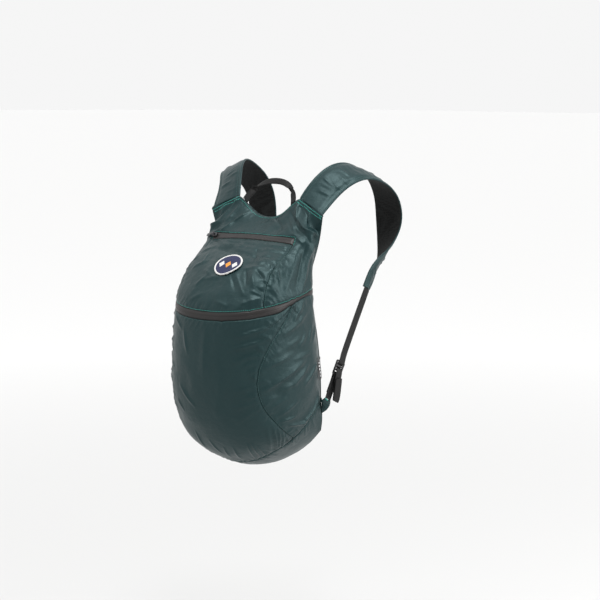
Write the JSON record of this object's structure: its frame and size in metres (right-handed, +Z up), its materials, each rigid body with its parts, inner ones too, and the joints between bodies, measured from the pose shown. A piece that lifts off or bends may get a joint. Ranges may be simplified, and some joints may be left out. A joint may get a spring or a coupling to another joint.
{
  "type": "packable backpack",
  "caption": "Light packable daypack, filled as when worn, with a clamshell main zip, zipped front pocket, thin shoulder straps on ladder-lock adjusters and a webbing grab handle.",
  "frame": {"origin": "midway between the undersides of the two shoulder straps, at the top of the shoulders that hold the pack up", "axes": "+Z up, +X towards the wearer's right, -Y away from the wearer's back, so the pack's outer front faces -Y"},
  "size_m": [0.3818, 0.4142, 0.5971],
  "materials": {
    "shell": "dark slate-teal coated ripstop nylon, slight sheen, wrinkled",
    "strap_cloth": "the same nylon over thin spacer mesh, hemmed edges",
    "zip_tape": "water-repellent coated zip tape, warm charcoal, semi-matt",
    "black_mesh": "black spacer mesh",
    "black_webbing": "black woven webbing, matt",
    "black_plastic": "moulded acetal, satin",
    "zip_metal": "dark plated zinc alloy, satin",
    "badge_cloth": "embroidered twill, white rim with a navy field and a row of plain diamonds",
    "label_cloth": "black woven label with plain white marks"
  },
  "bodies": {
    "pack": {"yoke": "shell", "upper_front_panel": "shell", "front_panel": "shell", "side_panel_left": "shell", "side_panel_right": "shell", "bottom_gusset": "shell", "back_panel": "shell", "main_zip": "zip_tape", "pocket_zip": "zip_tape", "strap_right": "strap_cloth", "strap_left": "strap_cloth", "strap_lining_right": "black_mesh", "strap_lining_left": "black_mesh", "anchor_tab_right": "shell", "anchor_tab_left": "shell", "ladder_lock_right": "black_plastic", "ladder_lock_left": "black_plastic", "strap_webbing_right": "black_webbing", "strap_webbing_left": "black_webbing", "anchor_webbing_right": "black_webbing", "anchor_webbing_left": "black_webbing", "grab_handle": "black_webbing", "round_badge": "badge_cloth", "side_label": "label_cloth", "pocket_zip_slider": "zip_metal", "main_zip_slider": "zip_metal"},
    "pocket_pull": {"pocket_zip_pull": "zip_metal"}
  },
  "joints": [
    {"name": "pocket_pull_swing", "type": "hinge", "parent": "pack", "child": "pocket_pull", "pos_m": [-0.09577, -0.15087, -0.12236], "axis": [0.0727, 0.6633, 0.7448], "range_deg": [0, 180]}
  ]
}
